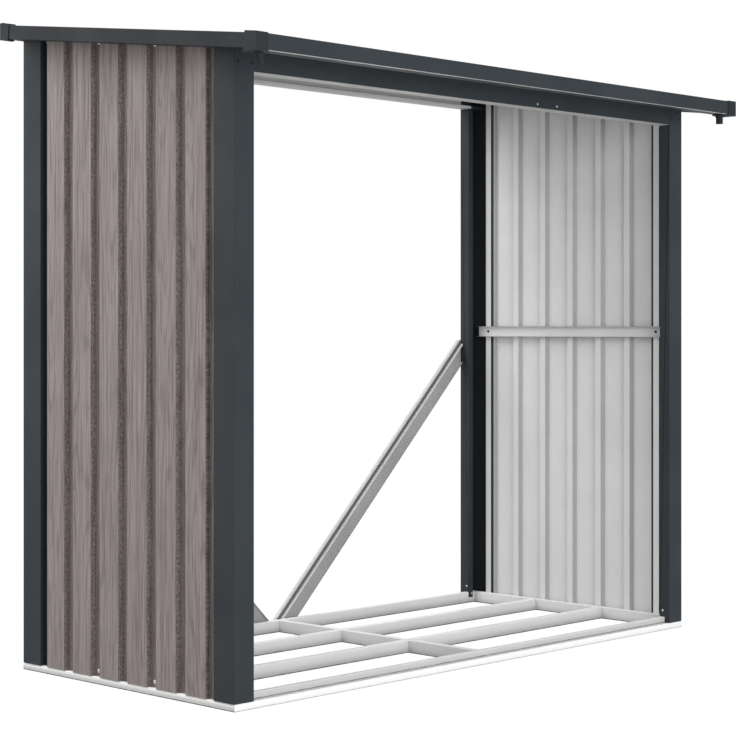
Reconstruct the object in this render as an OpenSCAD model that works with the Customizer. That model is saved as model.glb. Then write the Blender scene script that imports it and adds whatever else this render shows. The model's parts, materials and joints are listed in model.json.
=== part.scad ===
// Open-fronted log store in folded sheet steel: four corner posts on a floor
// frame, two ribbed side walls, two eaves beams, a V of braces at the back and
// a lean-to roof that falls to a gutter along the front.
// X runs along the front, Y from front to back, Z up; the origin is on the
// ground under the middle of the roof.

/* [Overall] */
// Width over the outer faces of the posts
body_w = 1800; // [1200:10:2600]
// Depth over the outer faces of the posts
body_d = 828; // [600:2:1200]
// Height of the roof edge at the front
eaves_h = 1565; // [1300:5:2000]
// Rise of the roof from its front edge to its back edge
roof_rise = 122; // [60:2:200]

/* [Sheet] */
// Thickness of the folded sheet
steel_t = 1.2; // [0.8:0.1:1.5]

/* [Floor frame] */
// Height of the floor frame
base_h = 35; // [28:1:60]
// Width of a perimeter rail, outside to inside
base_w = 35; // [30:1:60]
// Height of the ledge that carries the posts and walls
ledge_h = 18; // [14:1:26]
// Width of that ledge
ledge_w = 18; // [18:0.5:24]
// Height of the upright band below the ledge's sloping edge
band_h = 11; // [6:1:13]
// Width of the ledge's sloping edge
edge_w = 3; // [1:0.5:5]
// Width of the small lips turned in at the bottom of a rail
base_lip = 8; // [4:1:12]
// Width of the cross member and the joists
joist_w = 20; // [16:1:40]
// Distance between the two rows of joists
joist_pitch = 260; // [180:5:380]

/* [Posts] */
// Width of a post's side face
post_side_w = 75; // [60:1:110]
// Width of a post's front or back face
post_face_w = 62; // [50:1:90]
// Depth of the step that a post's side face turns in by
post_step = 14; // [14:0.5:17]
// Width of the lip beyond that step, which holds the wall
post_side_lip = 21; // [16:1:30]
// Width of the lip that turns back inside a post
post_inner_lip = 20; // [12:1:26]

/* [Walls] */
// Gap between a post and the first raised rib
wall_slot = 27; // [24:1:40]
// Width of the lap between the wall's edge and the post's lip
wall_lap = 17; // [10:1:20]
// Distance between ribs, before it is fitted to the wall's length
rib_pitch = 110; // [80:5:160]
// Width of the groove between two ribs
groove_w = 36; // [30:1:50]
// Depth of a groove
groove_depth = 12; // [8:1:12]
// Width of each sloping side of a groove
groove_slope = 8; // [4:1:12]

/* [Wall fittings] */
// Width of the strips that line the wall's upright edges
strip_w = 21; // [14:1:21]
// How far a strip reaches past the post's step, into the post
strip_lap = 4; // [0:1:8]
// Height of the middle rail's lower edge
mid_rail_z = 868; // [500:2:1100]
// Height of the middle rail
mid_rail_h = 33; // [24:1:60]
// Width of the middle rail's legs
mid_rail_leg = 15; // [10:1:24]
// Distance from the front face to the middle rail's front end
mid_rail_front = 53; // [40:1:70]
// Distance from the back face to the middle rail's back end
mid_rail_back = 42; // [40:1:70]
// Height of the angle along the top of a wall
top_angle_h = 16; // [12:1:30]
// Width of that angle's leg under the roof
top_angle_leg = 25; // [16:1:40]
// Gap between that angle and the eaves beams
top_angle_gap = 7; // [6:1:20]

/* [Beams and braces] */
// Height of the front beam's lower edge
beam_front_z = 1501; // [1250:1:1900]
// Height of the back beam's lower edge
beam_back_z = 1610; // [1350:1:2000]
// Width of the beams' flanges
beam_leg = 45; // [30:1:60]
// Width of the lip turned up at a beam's lower flange
beam_lip = 8; // [4:1:14]
// Width of a brace over its raised edges
brace_w = 44; // [30:1:60]
// Height of those raised edges
brace_rim = 10.5; // [6:0.5:14]
// Width of the raised edge that is folded double
brace_fold = 4; // [4:0.5:6]
// Width of the lip beyond the double edge
brace_lip = 16; // [8:1:24]
// Depth of that lip's turned-back edge
brace_return = 7; // [3:0.5:7]
// Height at which the middle of a brace meets its post
brace_top_z = 813; // [500:1:1200]
// Height at which the top end of a brace is cut off
brace_end_z = 857; // [540:1:1260]
// Distance from the centre line to the middle of a brace's foot
brace_foot_x = 43; // [40:1:120]

/* [Roof] */
// How far the roof passes the posts at each side
side_overhang = 66; // [50:1:120]
// How far the roof passes the posts at the front
front_overhang = 145; // [110:1:240]
// How far the roof passes the posts at the back
back_overhang = 7; // [5:1:40]
// Height of the ribs in the roof sheets
roof_rib_h = 12; // [8:1:16]
// Height of the roof edge trims and of the gutter
trim_h = 36; // [32:1:60]
// Width of the trims' flange over the roof sheet
trim_top_leg = 25; // [16:1:26]
// Width of the trims' lower flange
trim_low_leg = 22; // [12:1:26]
// Depth of the gutter, front to back
gutter_w = 45; // [36:1:80]
// Width of the fold along the gutter's front edge
gutter_fold = 8; // [4:1:14]
// How far the gutter's front stands above the roof's edge
gutter_rise = 2.5; // [0:0.5:2.5]
// Width of the gutter's flange under the roof sheet
gutter_leg = 15; // [8:1:30]
// How far the sheet stays back from the gutter's front face
sheet_inset = 30; // [20:1:36]

/* [Roof caps] */
// Length of a corner cap along each roof edge
cap_arm = 37; // [30:1:60]
// How far a cap stands out from the trims' faces
cap_proud = 2; // [1:0.5:4]
// How far a cap stands above and below the trims
cap_edge = 4; // [2:0.5:6]
// Length of the tongue under the gutter that carries the spigot
cap_tongue = 53; // [52:1:90]
// Distance from the gutter's front face to that tongue
cap_tongue_y = 15; // [10:1:16]
// Distance from the roof's side edge to the drain outlet
outlet_x = 37.5; // [37:0.5:38]
// Distance from the gutter's front face to the drain outlet
outlet_y = 30; // [20:1:31]
// Radius of the drain outlet's bore
outlet_bore_r = 7; // [5:0.5:7.5]
// Outer radius of the drain spigot
spigot_r = 10; // [9:0.5:12]
// Radius of the spigot's wide neck
spigot_neck_r = 13.5; // [12:0.5:15]
// Height of the spigot's wide neck
spigot_neck_h = 6; // [4:1:12]
// Length of the straight part of the spigot
spigot_len = 17; // [15:1:40]

/* [Hidden] */
$fn = 48;

// Where the posts' faces and the roof's edges are, along Y
front_y = (front_overhang - back_overhang - body_d) / 2;
back_y = front_y + body_d;
roof_front_y = front_y - front_overhang;
roof_back_y = back_y + back_overhang;
roof_w = body_w + 2 * side_overhang;

// The slope of the roof and where the sheet's underside lies below its edge
roof_slope = roof_rise / (roof_back_y - roof_front_y);
roof_angle = atan(roof_slope);
sheet_drop = roof_rib_h + 2 * steel_t;

// Ribs are spread evenly over the wall between the two slots
wall_run = body_d - 2 * (post_side_w + wall_slot);
wall_ribs = max(1, round((wall_run + groove_w) / rib_pitch));
wall_pitch = (wall_run + groove_w) / wall_ribs;

// Ribs of one roof sheet, which covers half of the roof
sheet_gap = 1;
sheet_w = roof_w / 2 - steel_t - sheet_gap;
sheet_ribs = max(1, round((sheet_w + groove_w) / rib_pitch));
sheet_pitch = (sheet_w + groove_w) / sheet_ribs;
sheet_back_gap = 4;

// Where the inner faces of the wall's layers lie, from the posts' side face
strip_face = post_step + 2 * steel_t;

// Gaps left at the roof's corners, which the caps bridge
side_trim_gap = 20;
edge_trim_gap = trim_top_leg + 2;
cap_side_leg = 20;
cap_top_leg = 12;
cap_back_set = 3;

// Half of the gap between the braces' feet
brace_gap = 1;

// Larger than the whole store, for cutting away what is past a plane
beyond = 2 * (body_w + body_d + eaves_h);
// Small overshoot that makes a cut clean
over = 1;

// ---- Folded sheet -------------------------------------------------------

function left_of(a, b) = let (d = (b - a) / norm(b - a)) [-d[1], d[0]];

// The point beside corner i of a path, t away from the two sides that meet there
function beside(path, i, t) =
    let (
        last = len(path) - 1,
        before = left_of(path[max(i - 1, 0)], path[max(i, 1)]),
        after = left_of(path[min(i, last - 1)], path[min(i + 1, last)]),
        middle = before + after
    )
    path[i] + middle * 2 * t / (middle * middle);

// A sheet of thickness t folded along a path, on the left of it when t > 0
module folded(path, t = steel_t) {
    last = len(path) - 1;
    polygon(concat(path, [for (i = [last:-1:0]) beside(path, i, t)]));
}

// One outline of raised ribs and grooves, seen from its end: x is the depth
// and y runs along the sheet
function ribs(count, pitch, depth, start) = [
    for (i = [0:count - 1], k = [0:3])
        let (low = start + i * pitch, high = low + pitch - groove_w)
        if (k < 2 || i < count - 1)
            [k < 2 ? 0 : depth, k == 0 ? low : k == 1 ? high : k == 2 ? high + groove_slope
                                                               : low + pitch - groove_slope]
];

// A section in Y and Z, run along X
module run_x(length) {
    rotate([90, 0, 90]) linear_extrude(height = length) children();
}

// A section in X and Z, run along Y
module run_y(length) {
    translate([0, length, 0]) rotate([90, 0, 0]) linear_extrude(height = length) children();
}

// ---- Roof plane ---------------------------------------------------------

// Height of the roof's upper edge at y
function roof_z(y) = eaves_h + (y - roof_front_y) * roof_slope;

// Height at y of a plane that lies a distance below the roof's upper edge
function roof_z_below(y, distance) = roof_z(y) - distance / cos(roof_angle);

// What is drawn level at y = 0 is moved to the roof's edge at y and tilted
module on_slope(y) {
    translate([0, y, roof_z(y)]) rotate([roof_angle, 0, 0]) children();
}

// A section in X and Z, run up the roof from one y to another
module run_slope(from_y, to_y) {
    on_slope(from_y) run_y((to_y - from_y) / cos(roof_angle)) children();
}

// Uprights end at the underside of the roof sheet
module below_sheet() {
    difference() {
        children();
        on_slope(0) translate([-beyond / 2, -beyond / 2, -sheet_drop]) cube(beyond);
    }
}

// ---- Places -------------------------------------------------------------

module right_hand() {
    mirror([1, 0, 0]) children();
}

// Outer corner of the front left post: x and y run inwards
module at_front_left() {
    translate([-body_w / 2, front_y, 0]) children();
}

// Outer corner of the back left post: x and y run inwards
module at_back_left() {
    translate([-body_w / 2, back_y, 0]) mirror([0, 1, 0]) children();
}

// ---- Floor frame --------------------------------------------------------

// A perimeter rail from its outer face inwards: a ledge outside, a raised box inside
module base_section() {
    folded([
        [base_w - base_lip, 0],
        [base_w, 0],
        [base_w, base_h],
        [ledge_w, base_h],
        [ledge_w, ledge_h],
        [edge_w, ledge_h],
        [0, band_h],
        [0, 0],
        [base_lip, 0]
    ]);
}

// Rails meet at the corners on a mitre
module mitred(length) {
    intersection() {
        children();
        linear_extrude(height = base_h) polygon([
            [0, 0],
            [length, 0],
            [length - base_w, base_w],
            [base_w, base_w]
        ]);
    }
}

module base_rail(length) {
    color("gainsboro") mitred(length) run_x(length) base_section();
}

module base_rail_front() {
    at_front_left() base_rail(body_w);
}

module base_rail_back() {
    at_back_left() base_rail(body_w);
}

module base_rail_left() {
    translate([-body_w / 2, back_y, 0]) rotate([0, 0, -90]) base_rail(body_d);
}

module base_rail_right() {
    right_hand() base_rail_left();
}

module floor_cross_member() {
    length = body_d - 2 * base_w;
    color("gainsboro") translate([0, front_y + base_w, 0]) difference() {
        translate([-joist_w / 2, 0, 0]) cube([joist_w, length, base_h]);
        translate([-joist_w / 2 + steel_t, -over, steel_t])
            cube([joist_w - 2 * steel_t, length + 2 * over, base_h - 2 * steel_t]);
    }
}

// A channel from the cross member to the right-hand rail; row is -1 or 1
module joist(row) {
    middle_y = (front_y + back_y) / 2 + row * joist_pitch / 2;
    color("gainsboro") translate([joist_w / 2, middle_y - joist_w / 2, 0])
        run_x(body_w / 2 - base_w - joist_w / 2)
            folded([[joist_w, base_h], [0, base_h], [0, 0], [joist_w, 0]]);
}

module joist_front_left() {
    right_hand() joist(-1);
}

module joist_front_right() {
    joist(-1);
}

module joist_back_left() {
    right_hand() joist(1);
}

module joist_back_right() {
    joist(1);
}

// ---- Posts --------------------------------------------------------------

module post_section() {
    inner = base_w + steel_t;
    folded([
        [post_step, post_side_w + post_side_lip],
        [post_step, post_side_w],
        [0, post_side_w],
        [0, 0],
        [post_face_w, 0],
        [post_face_w, inner],
        [post_face_w - post_inner_lip, inner]
    ]);
}

// A post stands on the ledge, clears the rail's raised box and takes the beam
module post(beam_z) {
    color("darkslategray") difference() {
        translate([0, 0, ledge_h]) linear_extrude(height = eaves_h + roof_rise) post_section();
        translate([ledge_w, ledge_w, 0]) cube([post_face_w, base_w - ledge_w, base_h]);
        translate([ledge_w, steel_t, beam_z]) cube([post_face_w, base_w + over, beyond]);
    }
}

module post_front_left() {
    below_sheet() at_front_left() post(beam_front_z);
}

module post_front_right() {
    right_hand() post_front_left();
}

module post_back_left() {
    below_sheet() at_back_left() post(beam_back_z);
}

module post_back_right() {
    right_hand() post_back_left();
}

// ---- Walls --------------------------------------------------------------

module wall_section() {
    lap_x = post_step - steel_t;
    lap_y = post_side_w + post_side_lip - wall_lap;
    first_y = post_side_w + wall_slot;
    folded(concat(
        [[lap_x, lap_y], [lap_x, first_y]],
        ribs(wall_ribs, wall_pitch, groove_depth, first_y),
        [[lap_x, body_d - first_y], [lap_x, body_d - lap_y]]
    ), -steel_t);
}

module wall_panel_left() {
    color("rosybrown") below_sheet() at_front_left()
        translate([0, 0, ledge_h]) linear_extrude(height = eaves_h + roof_rise) wall_section();
}

module wall_panel_right() {
    right_hand() wall_panel_left();
}

// A flat strip inside the post's lip, drawn at the front left corner
module edge_strip() {
    color("lightgray") translate([post_step + steel_t, post_side_w - strip_lap, ledge_h])
        cube([steel_t, strip_w, eaves_h + roof_rise]);
}

module edge_strip_front_left() {
    below_sheet() at_front_left() edge_strip();
}

module edge_strip_front_right() {
    right_hand() edge_strip_front_left();
}

module edge_strip_back_left() {
    below_sheet() at_back_left() edge_strip();
}

module edge_strip_back_right() {
    right_hand() edge_strip_back_left();
}

// A channel across the wall, open to the inside
module wall_rail_left() {
    color("lightgray") at_front_left() translate([strip_face, mid_rail_front, mid_rail_z])
        run_y(body_d - mid_rail_front - mid_rail_back) folded([
            [mid_rail_leg, mid_rail_h],
            [0, mid_rail_h],
            [0, 0],
            [mid_rail_leg, 0]
        ]);
}

module wall_rail_right() {
    right_hand() wall_rail_left();
}

// An angle between the wall's top and the roof sheet
module wall_top_angle_left() {
    inset = steel_t + beam_leg + top_angle_gap;
    color("lightgray") translate([-body_w / 2 + strip_face, 0, 0])
        run_slope(front_y + inset, back_y - inset) folded([
            [top_angle_leg, -sheet_drop],
            [0, -sheet_drop],
            [0, -sheet_drop - top_angle_h]
        ]);
}

module wall_top_angle_right() {
    right_hand() wall_top_angle_left();
}

// ---- Beams and braces ---------------------------------------------------

// A channel whose upper flange follows the roof sheet. y runs inwards from
// the posts' face; outer_z and inner_z are the upper flange's heights at its
// outer and inner edge.
module beam(low_z, outer_z, inner_z) {
    far = steel_t + beam_leg;
    color("darkslategray") translate([steel_t, 0, 0]) run_x(body_w - 2 * steel_t) folded([
        [far, inner_z],
        [steel_t, outer_z],
        [steel_t, low_z],
        [far, low_z],
        [far, low_z + beam_lip]
    ]);
}

module beam_front() {
    at_front_left() beam(
        beam_front_z,
        roof_z_below(front_y + steel_t, sheet_drop),
        roof_z_below(front_y + steel_t + beam_leg, sheet_drop)
    );
}

module beam_back() {
    at_back_left() beam(
        beam_back_z,
        roof_z_below(back_y - steel_t, sheet_drop),
        roof_z_below(back_y - steel_t - beam_leg, sheet_drop)
    );
}

// A channel that leans from the middle of the back rail to the post and is
// open to the inside. One of its edges is folded double and goes on as a lip.
module brace_section() {
    half = brace_w / 2;
    folded([
        [-half - brace_lip, brace_return],
        [-half - brace_lip, -steel_t],
        [-half, -steel_t],
        [-half, -brace_rim],
        [-half + brace_fold, -brace_rim],
        [-half + brace_fold, -steel_t],
        [half - steel_t, -steel_t],
        [half - steel_t, -brace_rim]
    ]);
}

// A right-hand brace; the section drawn for it has its upper edge at -x
module brace() {
    post_x = body_w / 2 - post_face_w;
    run = post_x - brace_foot_x;
    rise = brace_top_z - ledge_h;
    length = norm([run, rise]);
    color("lightgray") intersection() {
        translate([brace_foot_x, back_y, ledge_h]) rotate([0, 90 - atan2(rise, run), 0])
            translate([0, 0, -length / 2]) linear_extrude(height = 2 * length) children();
        translate([brace_gap, back_y - base_w, ledge_h])
            cube([post_x - brace_gap, 2 * base_w, brace_end_z - ledge_h]);
    }
}

module brace_right() {
    brace() brace_section();
}

// The left brace has its lip along the lower edge
module brace_left() {
    right_hand() brace() mirror([1, 0]) brace_section();
}

// ---- Roof ---------------------------------------------------------------

// Half of the roof: ribs run up the slope and a rib lies along each edge
module roof_sheet_right() {
    color("dimgray") run_slope(roof_front_y + sheet_inset, roof_back_y - steel_t - sheet_back_gap)
        folded([
            for (p = ribs(sheet_ribs, sheet_pitch, roof_rib_h, 0)) [p[1], -steel_t - p[0]]
        ], -steel_t);
}

module roof_sheet_left() {
    right_hand() roof_sheet_right();
}

module roof_trim_left() {
    color("darkslategray") translate([-roof_w / 2, 0, 0])
        run_slope(roof_front_y + side_trim_gap, roof_back_y - side_trim_gap) folded([
            [trim_top_leg, 0],
            [0, 0],
            [0, -trim_h],
            [trim_low_leg, -trim_h]
        ]);
}

module roof_trim_right() {
    right_hand() roof_trim_left();
}

// The back trim closes the gap between the roof's edge and the posts
module roof_trim_back() {
    color("darkslategray") translate([-roof_w / 2 + edge_trim_gap, roof_back_y, 0])
        mirror([0, 1, 0]) run_x(roof_w - 2 * edge_trim_gap) folded([
            [trim_top_leg, roof_z(roof_back_y - trim_top_leg)],
            [0, roof_z(roof_back_y)],
            [0, roof_z(roof_back_y) - trim_h],
            [back_overhang, roof_z(roof_back_y) - trim_h]
        ]);
}

module outlet(radius, from_z, to_z) {
    translate([-roof_w / 2 + outlet_x, roof_front_y + outlet_y, from_z])
        cylinder(r = radius, h = to_z - from_z);
}

module gutter_front() {
    low_z = eaves_h - trim_h;
    seat = sheet_drop + steel_t;
    far = gutter_w + gutter_leg;
    color("darkslategray") difference() {
        translate([-roof_w / 2 + edge_trim_gap, roof_front_y, 0]) run_x(roof_w - 2 * edge_trim_gap)
            folded([
                [gutter_fold, eaves_h + gutter_rise],
                [0, eaves_h + gutter_rise],
                [0, low_z],
                [gutter_w, low_z],
                [gutter_w, roof_z_below(roof_front_y + gutter_w, seat)],
                [far, roof_z_below(roof_front_y + far, seat)]
            ]);
        outlet(outlet_bore_r, low_z - over, low_z + steel_t + over);
        right_hand() outlet(outlet_bore_r, low_z - over, low_z + steel_t + over);
    }
}

// ---- Roof caps ----------------------------------------------------------

// A block over the side trim's end: out is how far it stands out sideways,
// edge how far above and below
module cap_side_block(from_y, to_y, out, edge, leg) {
    translate([-roof_w / 2 - out, 0, 0]) run_slope(from_y, to_y)
        translate([0, -trim_h - edge]) square([out + leg, trim_h + 2 * edge]);
}

// The arms that wrap a corner, hollow where the trims end in them
module roof_cap_front_left() {
    low_z = eaves_h - trim_h;
    color("dimgray") difference() {
        union() {
            cap_side_block(roof_front_y, roof_front_y + cap_arm, cap_proud, cap_edge, cap_side_leg);
            translate([-roof_w / 2 - cap_proud, roof_front_y - cap_proud, low_z - cap_edge])
                cube([cap_proud + cap_arm, cap_proud + cap_top_leg, trim_h + 2 * cap_edge]);
            translate([-roof_w / 2 - cap_proud, roof_front_y - cap_proud, low_z - cap_edge])
                cube([cap_proud + cap_arm, cap_proud + gutter_w, cap_edge]);
            translate([-roof_w / 2, roof_front_y + cap_tongue_y, low_z - cap_edge])
                cube([cap_tongue, gutter_w - cap_tongue_y, cap_edge]);
            translate([-roof_w / 2 + outlet_x, roof_front_y + outlet_y, low_z - cap_edge - spigot_neck_h])
                cylinder(r1 = spigot_r, r2 = spigot_neck_r, h = spigot_neck_h);
            outlet(spigot_r, low_z - cap_edge - spigot_neck_h - spigot_len, low_z - cap_edge);
        }
        cap_side_block(roof_front_y - over, roof_front_y + cap_arm + over, 0, 0, cap_side_leg + over);
        translate([-roof_w / 2, roof_front_y, low_z])
            cube([cap_arm + over, gutter_w + over, trim_h + gutter_rise]);
        outlet(outlet_bore_r, low_z - cap_edge - spigot_neck_h - spigot_len - over, low_z + over);
    }
}

module roof_cap_front_right() {
    right_hand() roof_cap_front_left();
}

module roof_cap_back_left() {
    low_z = roof_z(roof_back_y) - trim_h;
    color("dimgray") difference() {
        union() {
            cap_side_block(
                roof_back_y - cap_arm, roof_back_y - cap_back_set, cap_proud, cap_edge, cap_side_leg
            );
            translate([-roof_w / 2 - cap_proud, roof_back_y - cap_top_leg, low_z - cap_edge])
                cube([cap_proud + cap_arm, cap_proud + cap_top_leg, trim_h + 2 * cap_edge]);
        }
        cap_side_block(roof_back_y - cap_arm - over, roof_back_y - cap_back_set, 0, 0, cap_side_leg + over);
        translate([-roof_w / 2, roof_back_y - cap_arm, low_z - cap_arm * roof_slope])
            cube([cap_arm + over, cap_arm, trim_h + cap_arm * roof_slope]);
    }
}

module roof_cap_back_right() {
    right_hand() roof_cap_back_left();
}

base_rail_front();
base_rail_back();
base_rail_left();
base_rail_right();
floor_cross_member();
joist_front_left();
joist_front_right();
joist_back_left();
joist_back_right();
post_front_left();
post_front_right();
post_back_left();
post_back_right();
wall_panel_left();
wall_panel_right();
edge_strip_front_left();
edge_strip_front_right();
edge_strip_back_left();
edge_strip_back_right();
wall_rail_left();
wall_rail_right();
wall_top_angle_left();
wall_top_angle_right();
beam_front();
beam_back();
brace_left();
brace_right();
roof_sheet_left();
roof_sheet_right();
roof_trim_left();
roof_trim_right();
roof_trim_back();
gutter_front();
roof_cap_front_left();
roof_cap_front_right();
roof_cap_back_left();
roof_cap_back_right();
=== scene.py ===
"""Looks of an open-fronted log store in folded sheet steel, built around its CAD frame.

The ribbed sheets, the screws and the rings on the drain spigots come from Geometry Nodes. Posts, beams,
rails and trims are copies of their CAD solids with rounded folds. Lengths are in metres.
"""

import json
import math

import bmesh
import bpy
from mathutils import Matrix, Vector


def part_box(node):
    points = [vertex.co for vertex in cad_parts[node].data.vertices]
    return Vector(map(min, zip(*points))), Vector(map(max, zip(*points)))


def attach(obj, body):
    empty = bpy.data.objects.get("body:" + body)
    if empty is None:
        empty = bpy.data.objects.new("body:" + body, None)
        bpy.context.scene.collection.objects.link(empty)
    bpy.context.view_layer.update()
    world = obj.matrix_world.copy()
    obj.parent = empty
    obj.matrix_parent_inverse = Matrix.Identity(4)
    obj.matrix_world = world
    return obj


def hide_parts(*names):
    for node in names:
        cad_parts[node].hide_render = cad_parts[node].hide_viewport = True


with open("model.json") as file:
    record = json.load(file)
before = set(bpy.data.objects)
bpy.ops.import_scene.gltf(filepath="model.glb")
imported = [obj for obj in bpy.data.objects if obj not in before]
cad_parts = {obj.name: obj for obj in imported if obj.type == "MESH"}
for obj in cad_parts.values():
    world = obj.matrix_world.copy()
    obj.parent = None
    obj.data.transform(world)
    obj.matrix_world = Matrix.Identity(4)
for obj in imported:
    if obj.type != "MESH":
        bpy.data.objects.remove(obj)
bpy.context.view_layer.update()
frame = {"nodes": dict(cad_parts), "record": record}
scene = bpy.context.scene
cad = frame["nodes"]

# ---- Sizes --------------------------------------------------------------

STEEL = 0.0012
FOLD_RADIUS = 0.0016
RIB_FOLD_RADIUS = 0.003
MOULDED_RADIUS = 0.0009

SIDES = ("left", "right")
ENDS = ("front", "back")
LEFT_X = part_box("post_front_left")[0].x
FRONT_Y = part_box("post_front_left")[0].y
BACK_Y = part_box("post_back_left")[1].y
LEDGE_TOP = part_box("post_front_left")[0].z

# The roof's upper edge rises evenly from the gutter's front edge to the back trim
GUTTER_HEIGHT = 0.036
ROOF_FRONT_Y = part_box("gutter_front")[0].y
ROOF_BACK_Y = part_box("roof_trim_back")[1].y
ROOF_FRONT_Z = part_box("gutter_front")[0].z + GUTTER_HEIGHT
ROOF_BACK_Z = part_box("roof_trim_back")[1].z
ROOF_SLOPE = (ROOF_BACK_Z - ROOF_FRONT_Z) / (ROOF_BACK_Y - ROOF_FRONT_Y)
ROOF_ANGLE = math.atan(ROOF_SLOPE)
ROOF_RIB = 0.012
SHEET_DROP = ROOF_RIB + 2 * STEEL

GROOVE_WIDTH = 0.036
GROOVE_SLOPE = 0.008
GROOVE_DEPTH = 0.012
WALL_RIBS = 6
WALL_EDGE = 0.102
WALL_LAP = 0.023
POST_STEP = 0.014
ROOF_RIBS = 9

# Coats' numbers in a sheet piece. The last two are for the piece's painted light and painted shade
FACE_COAT, INNER_COAT, EDGE_COAT, FIRST_PAINTED_TONE_COAT, SECOND_PAINTED_TONE_COAT = range(5)

# The braces' middle lines rise at 45 degrees to both sides, from a point this far below the ground
BRACE_DROP = 0.025
BRACE_HALF = 0.022


def roof_z(y, below=0.0):
    """Height of the roof's upper edge at y, or of a plane that lies a distance below it."""
    return ROOF_FRONT_Z + (y - ROOF_FRONT_Y) * ROOF_SLOPE - below / math.cos(ROOF_ANGLE)


# ---- Node trees ---------------------------------------------------------


def wire(tree, value, socket):
    """Links a socket, or sets a plain value."""
    if isinstance(value, bpy.types.NodeSocket):
        tree.links.new(value, socket)
    else:
        socket.default_value = value


def add(tree, kind, inputs=(), **settings):
    """Adds a node, with its inputs by name or number."""
    node = tree.nodes.new(kind)
    for name, value in settings.items():
        setattr(node, name, value)
    for name, value in dict(inputs).items():
        wire(tree, value, node.inputs[name])
    return node


def calc(tree, operation, *values):
    """The result of a Math node."""
    return add(tree, "ShaderNodeMath", enumerate(values), operation=operation).outputs[0]


def joined(tree, x=0.0, y=0.0, z=0.0):
    """A vector made of its parts."""
    return add(tree, "ShaderNodeCombineXYZ", {0: x, 1: y, 2: z}).outputs[0]


def parts(tree, vector):
    """The parts of a vector, by the names X, Y and Z."""
    return add(tree, "ShaderNodeSeparateXYZ", {0: vector}).outputs


def facing(tree):
    """The parts of the direction in which the surface faces."""
    return parts(tree, add(tree, "ShaderNodeNewGeometry").outputs["Normal"])


def realized(tree, geometry, material):
    """Real geometry in place of instances, in one material."""
    real = add(tree, "GeometryNodeRealizeInstances", {"Geometry": geometry}).outputs[0]
    return add(tree, "GeometryNodeSetMaterial", {"Geometry": real, "Material": material}).outputs[0]


def new_tree(name, kind, inputs, outputs):
    """A node group with named sockets, its input node's outputs and its output node's inputs."""
    tree = bpy.data.node_groups.new(name, kind)
    for label, socket_type in inputs.items():
        tree.interface.new_socket(label, in_out="INPUT", socket_type=socket_type)
    for label, socket_type in outputs.items():
        tree.interface.new_socket(label, in_out="OUTPUT", socket_type=socket_type)
    given = tree.nodes.new("NodeGroupInput").outputs
    result = tree.nodes.new("NodeGroupOutput").inputs
    return tree, given, result


FLOAT, VECTOR, COLOUR = "NodeSocketFloat", "NodeSocketVector", "NodeSocketColor"
WHOLE, MATERIAL, GEOMETRY = "NodeSocketInt", "NodeSocketMaterial", "NodeSocketGeometry"

# ---- Shared surface effects ---------------------------------------------


def noise(tree, place, scale, detail=2.0, roughness=0.5):
    """The value of a noise texture, 0 to 1."""
    inputs = {"Vector": place, "Scale": scale, "Detail": detail, "Roughness": roughness}
    return add(tree, "ShaderNodeTexNoise", inputs).outputs["Fac"]


def stretched(tree, place, factors):
    """A place scaled by its own factor in each direction."""
    return add(tree, "ShaderNodeVectorMath", {0: place, 1: factors}, operation="MULTIPLY").outputs[0]


def ranged(tree, value, low, high, to_low=0.0, to_high=1.0):
    """A value moved smoothly from one range to another."""
    inputs = {"Value": value, "From Min": low, "From Max": high, "To Min": to_low, "To Max": to_high}
    return add(tree, "ShaderNodeMapRange", inputs, interpolation_type="SMOOTHSTEP").outputs["Result"]


def blended(tree, share, first, second):
    """Two colours blended by a share from 0 to 1."""
    return add(tree, "ShaderNodeMix", {0: share, 6: first, 7: second}, data_type="RGBA").outputs[2]


def coat_texture_group():
    """Fine orange peel and a cloudy tone, for every coat and for moulded plastic."""
    tree, given, result = new_tree(
        "Coat texture", "ShaderNodeTree",
        {"Place": VECTOR, "Grain Scale": FLOAT, "Cloud Scale": FLOAT},
        {"Grain": FLOAT, "Cloud": FLOAT},
    )
    grain = noise(tree, given["Place"], given["Grain Scale"], detail=3.0)
    cloud = noise(tree, given["Place"], given["Cloud Scale"], detail=4.0, roughness=0.6)
    wire(tree, grain, result["Grain"])
    wire(tree, ranged(tree, cloud, 0.3, 0.7), result["Cloud"])
    return tree


def settled_dust_group():
    """A thin film that lies on faces that look up, thicker in patches."""
    tree, given, result = new_tree(
        "Settled dust", "ShaderNodeTree", {"Place": VECTOR, "Patch Scale": FLOAT}, {"Dust": FLOAT}
    )
    patches = noise(tree, given["Place"], given["Patch Scale"], detail=5.0, roughness=0.65)
    lying = ranged(tree, facing(tree)["Z"], 0.3, 0.95)
    wire(tree, calc(tree, "MULTIPLY", lying, ranged(tree, patches, 0.35, 0.75)), result["Dust"])
    return tree


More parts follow.
